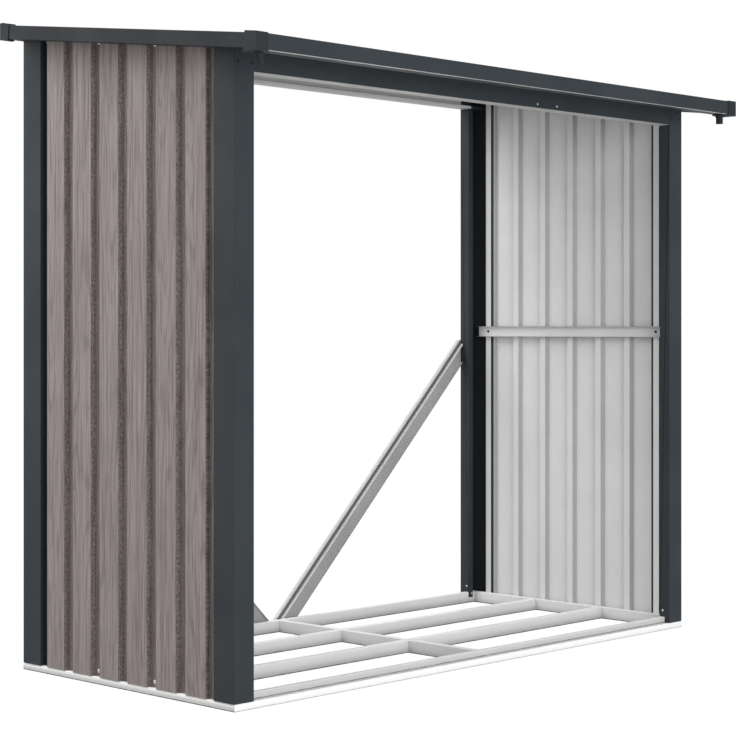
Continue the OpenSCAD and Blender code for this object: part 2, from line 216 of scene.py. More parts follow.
def wood_print_group():
    """Grey oak printed along the sheet: contour figures, streaks, pores and a change of tone."""
    tree, given, result = new_tree(
        "Wood print", "ShaderNodeTree",
        {"Place": VECTOR, "Light": COLOUR, "Dark": COLOUR, "Pore": COLOUR},
        {"Colour": COLOUR, "Height": FLOAT},
    )
    place = given["Place"]
    figure = noise(tree, stretched(tree, place, (11.0, 0.85, 1.0)), 1.0, detail=1.5, roughness=0.35)
    rings = calc(tree, "SINE", calc(tree, "MULTIPLY", figure, 118.0))
    rings = ranged(tree, rings, 0.35, 1.0)
    broad = noise(tree, stretched(tree, place, (34.0, 0.9, 1.0)), 1.0, detail=3.0)
    streaks = noise(tree, stretched(tree, place, (165.0, 3.6, 1.0)), 1.0, detail=3.0, roughness=0.75)
    fine = noise(tree, stretched(tree, place, (280.0, 11.0, 1.0)), 1.0, detail=2.0)
    pores = noise(tree, stretched(tree, place, (330.0, 30.0, 1.0)), 1.0, detail=1.0)
    tone = calc(tree, "MULTIPLY_ADD", rings, -0.13, calc(tree, "MULTIPLY", streaks, 1.2))
    tone = calc(tree, "MULTIPLY_ADD", broad, 0.4, tone)
    tone = calc(tree, "MULTIPLY_ADD", fine, 0.6, tone)
    colour = blended(tree, ranged(tree, tone, 0.72, 1.32), given["Dark"], given["Light"])
    pore_mask = ranged(tree, pores, 0.66, 0.8)
    where = ranged(tree, rings, 0.15, 0.75, 0.3, 0.8)
    pore_mask = calc(tree, "MULTIPLY", pore_mask, where)
    wire(tree, blended(tree, pore_mask, colour, given["Pore"]), result["Colour"])
    height = calc(tree, "SUBTRACT", calc(tree, "MULTIPLY", streaks, 0.6), pore_mask)
    wire(tree, height, result["Height"])
    return tree


def front_slope_group():
    """1 on faces that are turned towards the front at a slant, 0 on faces square to the sides."""
    tree, given, result = new_tree("Front slope", "ShaderNodeTree", {}, {"Slope": FLOAT})
    wire(tree, ranged(tree, facing(tree)["Y"], -0.3, -0.72), result["Slope"])
    return tree


def foot_shadow_group():
    """Painted shadow on upright faces: an uneven line just above the ground, and a haze that fades
    upwards.
    """
    tree, given, result = new_tree(
        "Painted foot shadow", "ShaderNodeTree", {"Place": VECTOR, "Height": FLOAT, "Haze Height": FLOAT},
        {"Shadow": FLOAT, "Upright": FLOAT},
    )
    level = parts(tree, given["Place"])["Z"]
    uneven = calc(tree, "MULTIPLY_ADD", noise(tree, given["Place"], 60.0, detail=4.0), 0.6, 0.2)
    top = calc(tree, "MULTIPLY", given["Height"], uneven)
    line = calc(tree, "SUBTRACT", 1.0, ranged(tree, level, calc(tree, "MULTIPLY", top, 0.5), top))
    fading = calc(tree, "SUBTRACT", 1.0, ranged(tree, level, 0.0, given["Haze Height"]))
    haze = calc(tree, "MULTIPLY", fading, 0.25)
    upright = calc(tree, "SUBTRACT", 1.0, ranged(tree, facing(tree)["Z"], 0.3, 0.7))
    wire(tree, calc(tree, "MULTIPLY", calc(tree, "MAXIMUM", line, haze), upright), result["Shadow"])
    wire(tree, upright, result["Upright"])
    return tree


def brace_crease_group():
    """1 in a brace's crease, beside its doubled edge, where shade is painted; 0 on the lip's outer part.
    """
    crease_end, crease_start = BRACE_HALF + 0.0105, BRACE_HALF + 0.0085
    tree, given, result = new_tree(
        "Brace crease", "ShaderNodeTree", {"Place": VECTOR}, {"Crease": FLOAT}
    )
    here = parts(tree, given["Place"])
    aside = calc(tree, "ABSOLUTE", here["X"])
    above = calc(tree, "ADD", calc(tree, "SUBTRACT", here["Z"], aside), BRACE_DROP)
    across = calc(tree, "MULTIPLY", calc(tree, "ABSOLUTE", above), math.sqrt(0.5))
    wire(tree, ranged(tree, across, crease_end, crease_start), result["Crease"])
    return tree


COAT_TEXTURE = coat_texture_group()
SETTLED_DUST = settled_dust_group()
WOOD_PRINT = wood_print_group()
FRONT_SLOPE = front_slope_group()
PAINTED_FOOT_SHADOW = foot_shadow_group()
BRACE_CREASE = brace_crease_group()


def effect(tree, group, inputs):
    """Places a shared effect in a material and returns its outputs."""
    return add(tree, "ShaderNodeGroup", inputs, node_tree=group).outputs


# ---- Finishes -----------------------------------------------------------

DUST_FILM = (0.3, 0.29, 0.27, 1)
# A painted shadow along the foot of upright faces, and its heights
FOOT_SHADOW = (0.035, 0.034, 0.032, 1)
FOOT_SHADOW_HEIGHT = 0.0075
FOOT_SHADOW_HAZE_HEIGHT = 0.02
# The white painted on faces that look up, a painted light
TOP_PAINTED_LIGHT = (0.92, 0.922, 0.918, 1)
RIB_SHADOW = (0.02, 0.02, 0.02, 1)
LAP_SHADOW = (0.01, 0.01, 0.01, 1)
CREASE_SHADOW = (0.05, 0.05, 0.049, 1)
OAK_LIGHT = (0.31, 0.269, 0.261, 1)
OAK_DARK = (0.15, 0.123, 0.118, 1)
OAK_PORE = (0.078, 0.06, 0.055, 1)
OAK_CLOUD = (0.16, 0.135, 0.13, 1)
GROOVE_SHADOW = (0.05, 0.034, 0.032, 1)
SLOT_SHADOW = (0.012, 0.011, 0.011, 1)
BUMP_DEPTH = 0.0002
ZINC_BUMP_DEPTH = 0.0001


def new_material(name):
    """A material, its tree, its Principled shader and the Object coordinates."""
    material = bpy.data.materials.new(name)
    material.use_nodes = True
    tree = material.node_tree
    shader = tree.nodes["Principled BSDF"]
    place = add(tree, "ShaderNodeTexCoord").outputs["Object"]
    return material, tree, shader, place


def raise_grain(tree, shader, height, depth, strength):
    """Feeds a height from 0 to 1, which stands for a depth in metres, to the shader's normal."""
    bump = add(tree, "ShaderNodeBump", {"Height": height, "Distance": depth, "Strength": strength})
    wire(tree, bump.outputs["Normal"], shader.inputs["Normal"])


def grey(level):
    """A light coat's grey, with a trace more green and less blue."""
    return level, level + 0.002, level - 0.002


def coat(name, colour, shade, roughness, grain_scale=650.0, grain=0.25, dust=0.25, sheen=0.2,
         painted_rib_shade=0.0, top_light_and_foot_shadow=0.0, ground=0.0, crease=0.0):
    """A baked coat on steel: orange peel, a cloudy tone between two colours, and dust that dulls it.

    A painted rib shade above 0 paints shade on the laps and on the slopes of ribs that face the front.
    A top light and foot shadow above 0 paints faces that look up white as painted light, and paints a
    shadow just above the height of the ground or a ledge: an uneven dark line and a haze. A crease above
    0 paints shade into the crease of a brace's lip.
    """
    material, tree, shader, place = new_material(name)
    texture = effect(tree, COAT_TEXTURE, {
        "Place": place, "Grain Scale": grain_scale, "Cloud Scale": 5.0,
    })
    lying = effect(tree, SETTLED_DUST, {"Place": place, "Patch Scale": 7.0})["Dust"]
    film = calc(tree, "MULTIPLY", lying, dust)
    tone = blended(tree, texture["Cloud"], (*shade, 1), (*colour, 1))
    # Painted shade on the slopes of ribs that face the front, and a painted shadow in the laps
    if painted_rib_shade:
        slope = effect(tree, FRONT_SLOPE, {})["Slope"]
        tone = blended(tree, calc(tree, "MULTIPLY", slope, painted_rib_shade), tone, RIB_SHADOW)
        depth = add(tree, "ShaderNodeAttribute", attribute_name="groove").outputs["Fac"]
        tone = blended(tree, ranged(tree, depth, 1.01, 1.05), tone, LAP_SHADOW)
    # Painted shade in the crease of a brace's lip
    if crease:
        deep = effect(tree, BRACE_CREASE, {"Place": place})["Crease"]
        tone = blended(tree, calc(tree, "MULTIPLY", deep, crease), tone, CREASE_SHADOW)
    # Painted light: faces that look up are painted white. Painted shadow: a dark line and haze above the
    # ground or ledge
    if top_light_and_foot_shadow:
        above = add(tree, "ShaderNodeVectorMath", {0: place, 1: (0, 0, ground)}, operation="SUBTRACT")
        ground_shade = effect(tree, PAINTED_FOOT_SHADOW, {
            "Place": above.outputs[0], "Height": FOOT_SHADOW_HEIGHT, "Haze Height": FOOT_SHADOW_HAZE_HEIGHT,
        })
        tone = blended(tree, ground_shade["Upright"], TOP_PAINTED_LIGHT, tone)
        tone = blended(tree, calc(tree, "MULTIPLY", ground_shade["Shadow"], top_light_and_foot_shadow), tone, FOOT_SHADOW)
    wire(tree, blended(tree, film, tone, DUST_FILM), shader.inputs["Base Color"])
    shader.inputs["Specular IOR Level"].default_value = sheen
    gloss = ranged(tree, texture["Cloud"], 0.0, 1.0, roughness + 0.05, roughness - 0.04)
    wire(tree, calc(tree, "MULTIPLY_ADD", film, 0.4, gloss), shader.inputs["Roughness"])
    raise_grain(tree, shader, texture["Grain"], BUMP_DEPTH, grain)
    return material


def wood_coat():
    """Printed grey oak outside the walls, painted shade in the grooves and painted shadow in the back
    slot.
    """
    material, tree, shader, place = new_material("grey_oak_print")
    sheet = add(tree, "ShaderNodeUVMap", uv_map="sheet").outputs["UV"]
    wood = effect(tree, WOOD_PRINT, {
        "Place": sheet, "Light": OAK_LIGHT, "Dark": OAK_DARK, "Pore": OAK_PORE,
    })
    texture = effect(tree, COAT_TEXTURE, {"Place": place, "Grain Scale": 900.0, "Cloud Scale": 2.2})
    cloud = ranged(tree, texture["Cloud"], 0.0, 1.0, 0.0, 0.16)
    tone = blended(tree, cloud, wood["Colour"], OAK_CLOUD)
    # Painted shade in the grooves, weaker in the laps, and on slopes that face the front, broken up in
    # specks
    depth = add(tree, "ShaderNodeAttribute", attribute_name="groove").outputs["Fac"]
    shaded = ranged(tree, depth, 0.05, 0.6, 0.0, 0.38)
    in_lap = ranged(tree, depth, 1.0, 1.06)
    shaded = calc(tree, "MULTIPLY", shaded, ranged(tree, in_lap, 0.0, 1.0, 1.0, 0.2))
    slope = calc(tree, "MULTIPLY", effect(tree, FRONT_SLOPE, {})["Slope"], 0.5)
    shade_specks = noise(tree, stretched(tree, place, (1.0, 330.0, 150.0)), 1.0, detail=2.0)
    shade_specks = ranged(tree, shade_specks, 0.35, 0.65, 0.55, 1.4)
    dark = calc(tree, "MULTIPLY", calc(tree, "MAXIMUM", shaded, slope), shade_specks)
    colour = blended(tree, dark, tone, GROOVE_SHADOW)
    # A painted shadow in the lap by the back posts
    at_back = ranged(tree, parts(tree, place)["Y"], 0.1, 0.3)
    colour = blended(tree, calc(tree, "MULTIPLY", in_lap, at_back), colour, SLOT_SHADOW)
    wire(tree, colour, shader.inputs["Base Color"])
    shader.inputs["Specular IOR Level"].default_value = 0.2
    wire(tree, ranged(tree, wood["Height"], -0.6, 0.6, 0.62, 0.5), shader.inputs["Roughness"])
    raise_grain(tree, shader, wood["Height"], BUMP_DEPTH, 0.35)
    return material


def zinc(name, colour, roughness):
    """Bright zinc plate with a fine spangle."""
    material, tree, shader, place = new_material(name)
    texture = effect(tree, COAT_TEXTURE, {"Place": place, "Grain Scale": 1400.0, "Cloud Scale": 160.0})
    darker = tuple(0.7 * c for c in colour)
    wire(tree, blended(tree, texture["Cloud"], (*darker, 1), (*colour, 1)), shader.inputs["Base Color"])
    gloss = ranged(tree, texture["Cloud"], 0.0, 1.0, roughness + 0.08, roughness - 0.06)
    wire(tree, gloss, shader.inputs["Roughness"])
    shader.inputs["Metallic"].default_value = 1.0
    raise_grain(tree, shader, texture["Grain"], ZINC_BUMP_DEPTH, 0.2)
    return material


ANTHRACITE = coat("anthracite_coat", (0.033, 0.0395, 0.045), (0.0285, 0.0345, 0.04), 0.5, sheen=0.1)
ROOF_COAT = coat("anthracite_roof_coat", (0.035, 0.042, 0.048), (0.031, 0.0375, 0.043), 0.5, dust=0.1)
LIGHT_GREY = coat("light_grey_coat", grey(0.66), grey(0.62), 0.42, grain=0.18)
# The brace's web and lip are painted darker than the light grey of the rest of the brace, a painted
# shade
BRACE_WEB_SHADE_COAT = coat("brace_web_painted_shade", grey(0.34), grey(0.3), 0.42, grain=0.1)
BRACE_LIP_SHADE_COAT = coat("brace_lip_painted_shade", grey(0.6), grey(0.56), 0.5, grain=0.1, crease=0.88)
BACK_COAT = coat("light_grey_back_coat", grey(0.57), grey(0.53), 0.5, grain=0.2)
# Painted shade on the slopes and laps of the walls' ribs
WALL_BACK_COAT = coat("light_grey_wall_back", grey(0.68), grey(0.64), 0.5, grain=0.2, painted_rib_shade=0.42)
# Painted light on faces that look up, and a painted shadow at the foot
FLOOR_COAT = coat("pale_grey_floor_coat", grey(0.72), grey(0.69), 0.4, grain=0.18, dust=0.0, top_light_and_foot_shadow=0.95)
# Darker than the posts' anthracite, a painted shade on the side trims
SHADED_TRIM_COAT = coat("anthracite_trim_painted_shade", (0.021, 0.0245, 0.0275), (0.018, 0.021, 0.0245), 0.5, sheen=0.1)
# The front rail's outer face painted white, a painted light
LIT_FRONT_BAND_COAT = coat(
    "front_band_painted_light", (0.96, 0.96, 0.955), (0.94, 0.94, 0.935), 0.4, dust=0.0, top_light_and_foot_shadow=0.4
)
# The front of the rail's raised box painted greyer, a painted shade, with a painted shadow above the
# ledge
SHADED_FLOOR_BOX_COAT = coat(
    "front_box_painted_shade", grey(0.6), grey(0.575), 0.4, dust=0.0, top_light_and_foot_shadow=0.8, ground=LEDGE_TOP
)
# The front edge strips painted paler than the back ones, a painted light
LIT_STRIP_COAT = coat("strip_coat_painted_light", grey(0.88), grey(0.86), 0.42, grain=0.18)
CAP_PLASTIC = coat(
    "moulded_anthracite", (0.023, 0.027, 0.031), (0.02, 0.023, 0.027), 0.55, grain_scale=1600.0,
    grain=0.4, sheen=0.1,
)
RUBBER = coat(
    "black_rubber", (0.02, 0.02, 0.021), (0.012, 0.012, 0.013), 0.8, grain_scale=1800.0, grain=0.5
)
GREY_OAK = wood_coat()
CUT_EDGE = zinc("cut_steel_edge", (0.34, 0.35, 0.36), roughness=0.55)
ZINC = zinc("zinc_plated_screw", (0.72, 0.72, 0.71), roughness=0.34)

# ---- Making meshes ------------------------------------------------------


def evaluated_mesh(piece):
    """A plain mesh of a piece as its modifiers leave it."""
    depsgraph = bpy.context.evaluated_depsgraph_get()
    return bpy.data.meshes.new_from_object(
        piece.evaluated_get(depsgraph), preserve_all_data_layers=True, depsgraph=depsgraph
    )


def new_piece(name, mesh):
    """An object at the origin that shows a mesh."""
    piece = bpy.data.objects.new(name, mesh)
    scene.collection.objects.link(piece)
    return piece


def settle(piece):
    """Replaces a piece's mesh by its evaluated one and removes its modifiers."""
    mesh = evaluated_mesh(piece)
    piece.modifiers.clear()
    old = piece.data
    piece.data = mesh
    bpy.data.meshes.remove(old)
    mesh.name = piece.name
    return piece


def smooth_shading(piece, sharp_degrees):
    """Smooth shading that stays crisp at edges sharper than this."""
    piece.data.shade_smooth()
    piece.data.set_sharp_from_angle(angle=math.radians(sharp_degrees))


def smooth_folds(piece):
    """Smooth shading that stays flat on flat faces and crisp at cut edges."""
    smooth_shading(piece, sharp_degrees=38)
    weighted = piece.modifiers.new("Flat faces first", "WEIGHTED_NORMAL")
    weighted.keep_sharp = True
    settle(piece)


def grown(name, tree, values, start=None):
    """The plain mesh piece that a Geometry Nodes tree makes from named inputs and a starting mesh."""
    piece = new_piece(name, start or bpy.data.meshes.new(name))
    maker = piece.modifiers.new("Maker", "NODES")
    maker.node_group = tree
    for socket in tree.interface.items_tree:
        if socket.in_out == "INPUT" and socket.name in values:
            maker[socket.identifier] = values[socket.name]
    return settle(piece)


def place_mesh(piece, matrix):
    """Moves a piece's mesh, and turns its faces back outwards if the move mirrors it."""
    piece.data.transform(matrix)
    if matrix.determinant() < 0:
        piece.data.flip_normals()


# ---- Ribbed sheets ------------------------------------------------------


def ribbed_sheet_tree():
    """A sheet with raised ribs. X is the depth, Y runs across the ribs, Z along them.

    The section starts and ends in a lap at its own depth. Attribute "groove" is 0 on a rib and 1 down in
    a groove, and map "sheet" is the flat sheet before it was folded.
    """
    tree, given, result = new_tree(
        "Ribbed sheet", "GeometryNodeTree",
        {
            "Ribs": WHOLE, "Pitch": FLOAT, "Groove Width": FLOAT, "Groove Depth": FLOAT,
            "Groove Slope": FLOAT, "Lap Width": FLOAT, "Lap Depth": FLOAT, "Fold Radius": FLOAT,
            "Length": FLOAT, "Rise": FLOAT, "Print Shift": FLOAT, "Coat": MATERIAL,
        },
        {"Sheet": GEOMETRY},
    )
    corners = calc(tree, "MULTIPLY_ADD", given["Ribs"], 4.0, 2.0)
    line = add(tree, "GeometryNodeMeshLine", {"Count": corners, "Offset": (0, 0, 0.001)}, mode="OFFSET")
    index = add(tree, "GeometryNodeInputIndex").outputs[0]
    step = calc(tree, "SUBTRACT", index, 2.0)
    corner = calc(tree, "FLOORED_MODULO", step, 4.0)
    rib = calc(tree, "FLOOR", calc(tree, "DIVIDE", step, 4.0))
    flat = calc(tree, "SUBTRACT", given["Pitch"], given["Groove Width"])

    # Each rib has four corners: its two edges, then the two bottom edges of the groove beyond it
    along = add(tree, "GeometryNodeIndexSwitch", {"Index": corner}, data_type="FLOAT")
    depth = add(tree, "GeometryNodeIndexSwitch", {"Index": corner}, data_type="FLOAT")
    for switch in (along, depth):
        switch.index_switch_items.new()
        switch.index_switch_items.new()
    places = (
        0.0, flat, calc(tree, "ADD", flat, given["Groove Slope"]),
        calc(tree, "SUBTRACT", given["Pitch"], given["Groove Slope"]),
    )
    depths = (0.0, 0.0, given["Groove Depth"], given["Groove Depth"])
    for item in range(4):
        wire(tree, places[item], along.inputs[item + 1])
        wire(tree, depths[item], depth.inputs[item + 1])
    across = calc(tree, "MULTIPLY_ADD", rib, given["Pitch"], along.outputs[0])
    pitches = calc(tree, "SUBTRACT", given["Ribs"], 1.0)
    sheet_width = calc(tree, "MULTIPLY_ADD", pitches, given["Pitch"], flat)

    # The laps at both ends
    at_start = calc(tree, "LESS_THAN", index, 2.0)
    at_end = calc(tree, "GREATER_THAN", index, calc(tree, "SUBTRACT", corners, 2.5))
    outermost_start = calc(tree, "LESS_THAN", index, 1.0)
    outermost_end = calc(tree, "GREATER_THAN", index, calc(tree, "SUBTRACT", corners, 1.5))
    start_y = calc(tree, "MULTIPLY", calc(tree, "MULTIPLY", outermost_start, given["Lap Width"]), -1.0)
    end_y = calc(tree, "MULTIPLY_ADD", outermost_end, given["Lap Width"], sheet_width)
    in_lap = calc(tree, "MAXIMUM", at_start, at_end)
    inputs = {"Switch": at_start, "False": across, "True": start_y}
    y = add(tree, "GeometryNodeSwitch", inputs, input_type="FLOAT").outputs[0]
    inputs = {"Switch": at_end, "False": y, "True": end_y}
    y = add(tree, "GeometryNodeSwitch", inputs, input_type="FLOAT").outputs[0]
    inputs = {"Switch": in_lap, "False": depth.outputs[0], "True": given["Lap Depth"]}
    x = add(tree, "GeometryNodeSwitch", inputs, input_type="FLOAT").outputs[0]

    section = add(tree, "GeometryNodeSetPosition", {
        "Geometry": line.outputs[0], "Position": joined(tree, x, y),
    })
    merged = add(tree, "GeometryNodeMergeByDistance", {
        "Geometry": section.outputs[0], "Distance": 0.0001,
    })
    curve = add(tree, "GeometryNodeMeshToCurve", {"Mesh": merged.outputs[0]})
    rounded = add(tree, "GeometryNodeFilletCurve", {
        "Curve": curve.outputs[0], "Count": 3, "Radius": given["Fold Radius"], "Limit Radius": True,
    }, mode="POLY")
    run = add(tree, "GeometryNodeSplineParameter").outputs["Length"]
    measured = add(tree, "GeometryNodeStoreNamedAttribute", {
        "Geometry": rounded.outputs[0], "Name": "run", "Value": run,
    }, data_type="FLOAT", domain="POINT")
    wires = add(tree, "GeometryNodeCurveToMesh", {"Curve": measured.outputs[0]})
    drawn = add(tree, "GeometryNodeExtrudeMesh", {
        "Mesh": wires.outputs[0], "Offset": joined(tree, z=given["Length"]),
    }, mode="EDGES")

    # The far end follows a slope across the ribs
    here = parts(tree, add(tree, "GeometryNodeInputPosition").outputs[0])
    share = calc(tree, "DIVIDE", here["Z"], given["Length"])
    raised = calc(tree, "MULTIPLY", here["Y"], given["Rise"])
    lift = joined(tree, z=calc(tree, "MULTIPLY", share, raised))
    sloped = add(tree, "GeometryNodeSetPosition", {"Geometry": drawn.outputs["Mesh"], "Offset": lift})

    sunk = calc(tree, "DIVIDE", here["X"], given["Groove Depth"])
    shaded = add(tree, "GeometryNodeStoreNamedAttribute", {
        "Geometry": sloped.outputs[0], "Name": "groove", "Value": sunk,
    }, data_type="FLOAT", domain="POINT")
    stored = add(tree, "GeometryNodeInputNamedAttribute", {"Name": "run"}, data_type="FLOAT").outputs[0]
    flat_place = joined(tree, calc(tree, "ADD", stored, given["Print Shift"]), here["Z"])
    mapped = add(tree, "GeometryNodeStoreNamedAttribute", {
        "Geometry": shaded.outputs[0], "Name": "sheet", "Value": flat_place,
    }, data_type="FLOAT2", domain="CORNER")
    wire(tree, realized(tree, mapped.outputs[0], given["Coat"]), result["Sheet"])
    return tree


RIBBED_SHEET = ribbed_sheet_tree()

# Puts the thickness behind the face that the tree makes
THICKNESS_BEHIND = -1.0


def ribbed_sheet(name, matrix, coats, values):
    """A ribbed sheet in place, with its thickness. Coats are the face, the back and the cut edge."""
    piece = grown(name, RIBBED_SHEET, {
        "Groove Width": GROOVE_WIDTH, "Groove Slope": GROOVE_SLOPE, "Fold Radius": RIB_FOLD_RADIUS,
        "Coat": coats[0], **values,
    })
    piece.data.materials.clear()
    for material in coats:
        piece.data.materials.append(material)
    thicken = piece.modifiers.new("Sheet", "SOLIDIFY")
    thicken.thickness = STEEL
    thicken.offset = THICKNESS_BEHIND
    thicken.use_even_offset = True
    thicken.material_offset = INNER_COAT
    thicken.material_offset_rim = EDGE_COAT
    settle(piece)
    place_mesh(piece, matrix)
    smooth_folds(piece)
    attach(piece, "root")
    return piece


WALL_RUN = BACK_Y - FRONT_Y - 2 * WALL_EDGE
WALL_PITCH = (WALL_RUN + GROOVE_WIDTH) / WALL_RIBS
PRINT_SHIFT = 3.7
for number, side in enumerate(SIDES):
    mirror = 1 if side == "left" else -1
    start_y = FRONT_Y + WALL_EDGE
    origin = Vector((mirror * LEFT_X, start_y, LEDGE_TOP))
    matrix = Matrix.Translation(origin) @ Matrix.Diagonal((mirror, 1, 1, 1))
    panel = ribbed_sheet("ribbed_wall_" + side, matrix, (GREY_OAK, WALL_BACK_COAT, CUT_EDGE), {
        "Ribs": WALL_RIBS, "Pitch": WALL_PITCH, "Groove Depth": GROOVE_DEPTH,
        "Lap Width": WALL_LAP, "Lap Depth": POST_STEP - STEEL,
        "Length": roof_z(start_y, SHEET_DROP) - LEDGE_TOP, "Rise": ROOF_SLOPE,
        "Print Shift": PRINT_SHIFT * number,
    })
    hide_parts("wall_panel_" + side)

ROOF_SHEET_FRONT_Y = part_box("roof_sheet_right")[0].y
ROOF_SHEET_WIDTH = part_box("roof_sheet_right")[1].x
ROOF_SHEET_LENGTH = (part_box("roof_sheet_right")[1].y - ROOF_SHEET_FRONT_Y) / math.cos(ROOF_ANGLE)
ROOF_PITCH = (ROOF_SHEET_WIDTH + GROOVE_WIDTH) / ROOF_RIBS
for side in SIDES:
    mirror = -1 if side == "left" else 1
    to_slope = Matrix(((0, mirror, 0, 0), (0, 0, 1, 0), (-1, 0, 0, -STEEL), (0, 0, 0, 1)))
    origin = Vector((0, ROOF_SHEET_FRONT_Y, roof_z(ROOF_SHEET_FRONT_Y)))
    matrix = Matrix.Translation(origin) @ Matrix.Rotation(ROOF_ANGLE, 4, "X") @ to_slope
    sheet = ribbed_sheet("ribbed_roof_" + side, matrix, (ROOF_COAT, BACK_COAT, CUT_EDGE), {
        "Ribs": ROOF_RIBS, "Pitch": ROOF_PITCH, "Groove Depth": ROOF_RIB,
        "Lap Width": 0.0, "Lap Depth": 0.0, "Length": ROOF_SHEET_LENGTH, "Rise": 0.0,
        "Print Shift": 0.0,
    })
    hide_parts("roof_sheet_" + side)

# ---- Folded sections ----------------------------------------------------

# A face narrower than this is the sheet's cut edge
THIN_FACE = 0.0019

# A face looks one way if its normal has more than this much of it
FACING = 0.7

# Shares of the fold radius at folds that stand out and that go in
CONVEX_FOLD, CONCAVE_FOLD = 1.0, 0.3
FOLD_ANGLE = math.radians(15)
FOLD_SEGMENTS = 3
SAME_CORNER = 0.00001


def solid_copy(node):
    """A CAD node's solid as a clean closed mesh of flat faces."""
    mesh = bmesh.new()
    mesh.from_mesh(cad[node].data)
    bmesh.ops.remove_doubles(mesh, verts=mesh.verts, dist=SAME_CORNER)
    bmesh.ops.dissolve_limit(
        mesh, angle_limit=math.radians(1), use_dissolve_boundaries=False, verts=mesh.verts,
        edges=mesh.edges,
    )
    mesh.normal_update()
    return mesh


def is_cut(face):
    """Whether a face is the sheet's own thickness, which only a cut shows."""
    return 2 * face.calc_area() / face.calc_perimeter() < THIN_FACE


def sheet_sides(mesh):
    """The faces of a folded sheet's two sides, each a set that meets at folds, the larger first."""
    remaining = {face for face in mesh.faces if not is_cut(face)}
    sides = []
    while remaining:
        side, waiting = set(), [remaining.pop()]
        while waiting:
            face = waiting.pop()
            side.add(face)
            for edge in face.edges:
                for other in edge.link_faces:
                    if other in remaining:
                        remaining.discard(other)
                        waiting.append(other)
        sides.append(side)
    return sorted(sides, key=lambda side: -sum(face.calc_area() for face in side))


def folded_piece(name, node, coats, recoat=None, splits=()):
    """A folded sheet with rounded folds. Coats are the face, the back and the cut edge.

    Recoat gives a face another coat's number, or None. Faces are first split at each plane, which is a
    place and a direction.
    """
    mesh = solid_copy(node)
    for place, way in splits:
        everything = mesh.verts[:] + mesh.edges[:] + mesh.faces[:]
        bmesh.ops.bisect_plane(mesh, geom=everything, plane_co=place, plane_no=way)
    for face in mesh.faces:
        face.material_index = EDGE_COAT
    for number, side in enumerate(sheet_sides(mesh)):
        for face in side:
            other = recoat(face, face.calc_center_median()) if recoat else None
            face.material_index = min(number, INNER_COAT) if other is None else other
    weights = mesh.edges.layers.float.new("bevel_weight_edge")
    for edge in mesh.edges:
        folded = len(edge.link_faces) == 2 and not any(is_cut(face) for face in edge.link_faces)
        if folded and edge.calc_face_angle() > FOLD_ANGLE:
            edge[weights] = CONVEX_FOLD if edge.is_convex else CONCAVE_FOLD
    piece = new_piece(name, bpy.data.meshes.new(name))
    mesh.to_mesh(piece.data)
    mesh.free()
    for material in coats:
        piece.data.materials.append(material)
    fold = piece.modifiers.new("Folds", "BEVEL")
    fold.limit_method = "WEIGHT"
    fold.width = FOLD_RADIUS
    fold.segments = FOLD_SEGMENTS
    fold.use_clamp_overlap = False
    settle(piece)
    smooth_folds(piece)
    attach(piece, "root")
    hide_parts(node)


DARK_SHEET = (ANTHRACITE, BACK_COAT, CUT_EDGE)
SHADED_TRIM_SHEET = (SHADED_TRIM_COAT, BACK_COAT, CUT_EDGE)
GREY_SHEET = (LIGHT_GREY, LIGHT_GREY, CUT_EDGE)
# The front strips wear the paler coat, a painted light
STRIP_SHEETS = {"front": (LIT_STRIP_COAT, LIT_STRIP_COAT, CUT_EDGE), "back": GREY_SHEET}
FLOOR_SHEET = (FLOOR_COAT, FLOOR_COAT, CUT_EDGE)

# The gutter's underside is split at the back of its painted highlight
GUTTER_SPLIT = ROOF_FRONT_Y + 0.01
GUTTER_SPLITS = [((0, GUTTER_SPLIT, 0), (0, 1, 0))]
GUTTER_FOOT = ROOF_FRONT_Z - 0.03
# The back beam is split where its painted shade beside the back posts begins
BEAM_SPLIT = 0.838
BEAM_SPLITS = [((x, 0, 0), (1, 0, 0)) for x in (-BEAM_SPLIT, BEAM_SPLIT)]
BEAM_LIP = 0.009
BRACE_LIP_AREA = 0.01
BRACE_WEB_AREA = 0.03
RAIL_SLANT = 0.004


def beam_tones(face, middle):
    """Back coat on a beam's underside and the back beam's lip; painted shade on that beam beside the
    posts.
    """
    at_back = middle.y > 0
    # Painted shade beside the back posts: the dark face coat on the inner face
    if at_back and abs(middle.x) > BEAM_SPLIT:
        return FACE_COAT
    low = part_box("beam_back" if at_back else "beam_front")[0].z
    is_lip = at_back and face.normal.y < -FACING
    is_low = middle.z < low + BEAM_LIP
    return INNER_COAT if is_low and (is_lip or face.normal.z < -FACING) else None


def gutter_painted_highlight(face, middle):
    """A pale strip along the front of the gutter's underside, a painted highlight on its hem."""
    is_highlight = middle.z < GUTTER_FOOT and middle.y < GUTTER_SPLIT
    return INNER_COAT if is_highlight and face.normal.z < -FACING else None


def brace_tones(face, middle):
    """Painted shade on the web, and on the lip with more in its crease; the plain coat elsewhere."""
    if face.normal.y > -FACING or face.calc_area() < BRACE_LIP_AREA:
        return FACE_COAT
    return INNER_COAT if face.calc_area() > BRACE_WEB_AREA else FIRST_PAINTED_TONE_COAT


def front_rail_tones(face, middle):
    """Painted light on the rail's outer face and slant, painted shade on the front of its raised box."""
    if face.normal.y > -FACING:
        return None
    return FIRST_PAINTED_TONE_COAT if middle.y < FRONT_Y + RAIL_SLANT else SECOND_PAINTED_TONE_COAT


